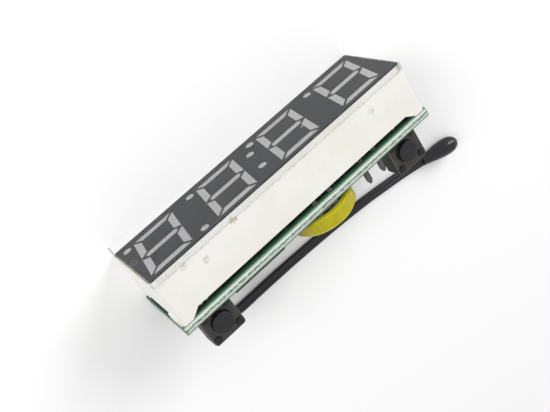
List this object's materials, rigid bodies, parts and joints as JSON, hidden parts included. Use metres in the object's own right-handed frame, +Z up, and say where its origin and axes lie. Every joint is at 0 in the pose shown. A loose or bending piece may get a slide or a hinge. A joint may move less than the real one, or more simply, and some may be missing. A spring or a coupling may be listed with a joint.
{
  "type": "digital display module",
  "caption": "Four-digit seven-segment display module on a circuit board, with side push-switches, a sleeved coin cell, bare power pins and a thermistor on a flat lead.",
  "frame": {"origin": "middle of the footprint, on the surface the module stands on", "axes": "+X along the module to the right of its digits, +Y from the digits to the back of the board, +Z up"},
  "size_m": [0.0603, 0.029, 0.0162],
  "materials": {
    "clear_film": "thin clear film, glossy",
    "mask_ink": "matt dark grey face ink",
    "white_moulding": "white moulded plastic, satin",
    "diffuser_resin": "milky resin, satin",
    "die": "small pale die",
    "substrate": "pale laminate",
    "tinned_metal": "tinned, slightly dull",
    "solder": "bright solder",
    "board_green": "green solder mask over laminate",
    "chip_black": "moulded epoxy, matt",
    "resistor_body": "glazed black",
    "capacitor_body": "tan ceramic",
    "switch_black": "moulded, matt",
    "switch_steel": "thin plated steel sheet",
    "button_black": "moulded, matt",
    "spring_steel": "polished spring steel",
    "pin_metal": "dull plated brass",
    "cell_can": "plated steel can",
    "sleeve_yellow": "shrunk yellow sleeve",
    "tab_nickel": "nickel strip",
    "copper_tinned": "tinned copper",
    "lead_jacket": "soft dark jacket, satin",
    "bead_epoxy": "dipped epoxy, glossy"
  },
  "bodies": {
    "module": {"protective_film": "clear_film", "face_mask": "mask_ink", "reflector_housing": "white_moulding", "digit_1_segments": "diffuser_resin", "digit_2_segments": "diffuser_resin", "digit_3_segments": "diffuser_resin", "digit_4_segments": "diffuser_resin", "colon_and_degree_dots": "diffuser_resin", "led_dies": "die", "display_substrate": "substrate", "display_pins": "tinned_metal", "display_solder_joints": "solder", "front_solder_joints": "solder", "circuit_board": "board_green", "clock_chip": "chip_black", "clock_chip_leads": "tinned_metal", "controller_chip": "chip_black", "controller_chip_leads": "tinned_metal", "voltage_regulator": "chip_black", "voltage_regulator_leads": "tinned_metal", "input_diode": "chip_black", "input_diode_terminals": "tinned_metal", "chip_resistors": "resistor_body", "chip_capacitors": "capacitor_body", "chip_end_caps": "solder", "power_pins": "pin_metal", "coin_cell": "cell_can", "cell_sleeve": "sleeve_yellow", "cell_near_tab": "tab_nickel", "cell_far_tab": "tab_nickel", "thermistor_wires": "copper_tinned", "thermistor_lead": "lead_jacket", "thermistor_bead": "bead_epoxy", "right_switch_base": "switch_black", "right_switch_plate": "switch_steel", "right_switch_dome": "spring_steel", "right_switch_terminals": "tinned_metal", "left_switch_base": "switch_black", "left_switch_plate": "switch_steel", "left_switch_dome": "spring_steel", "left_switch_terminals": "tinned_metal"},
    "right_button": {"right_switch_button": "button_black"},
    "left_button": {"left_switch_button": "button_black"}
  },
  "joints": [
    {"name": "right_button_press", "type": "slide", "parent": "module", "child": "right_button", "axis": [0, 0, -1], "range_m": [0, 0.00025], "stiffness_N_per_m": 6400, "deforming": ["right_switch_dome"]},
    {"name": "left_button_press", "type": "slide", "parent": "module", "child": "left_button", "axis": [0, 0, -1], "range_m": [0, 0.00025], "stiffness_N_per_m": 6400, "deforming": ["left_switch_dome"]}
  ]
}
